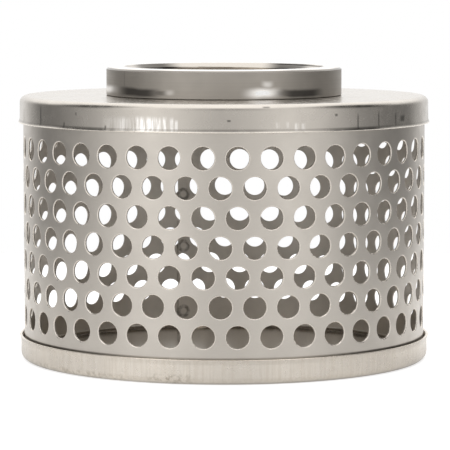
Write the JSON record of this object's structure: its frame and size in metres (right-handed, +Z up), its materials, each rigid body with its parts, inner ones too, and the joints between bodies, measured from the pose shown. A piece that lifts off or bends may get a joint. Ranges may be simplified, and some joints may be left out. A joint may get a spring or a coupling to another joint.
{
  "type": "hydraulic suction strainer",
  "caption": "Round suction strainer: a perforated sheet-metal shell between two pressed caps, with a short threaded collar on top for a suction hose.",
  "frame": {"origin": "centre of the flat face of the bottom cap, on which the strainer stands", "axes": "+Z up along the strainer's axis to the collar, -Y to the side that the picture shows, with the shell's lap seam at the back"},
  "size_m": [0.1822, 0.1822, 0.129],
  "materials": {
    "plated_sheet": "satin",
    "plated_pressing": "bright, drawn",
    "turned_steel": "turned",
    "weld_steel": "as welded"
  },
  "bodies": {
    "root": {"perforated_shell": "plated_sheet", "top_cap": "plated_pressing", "bottom_cap": "plated_pressing", "threaded_collar": "turned_steel", "collar_weld": "weld_steel"}
  },
  "joints": []
}
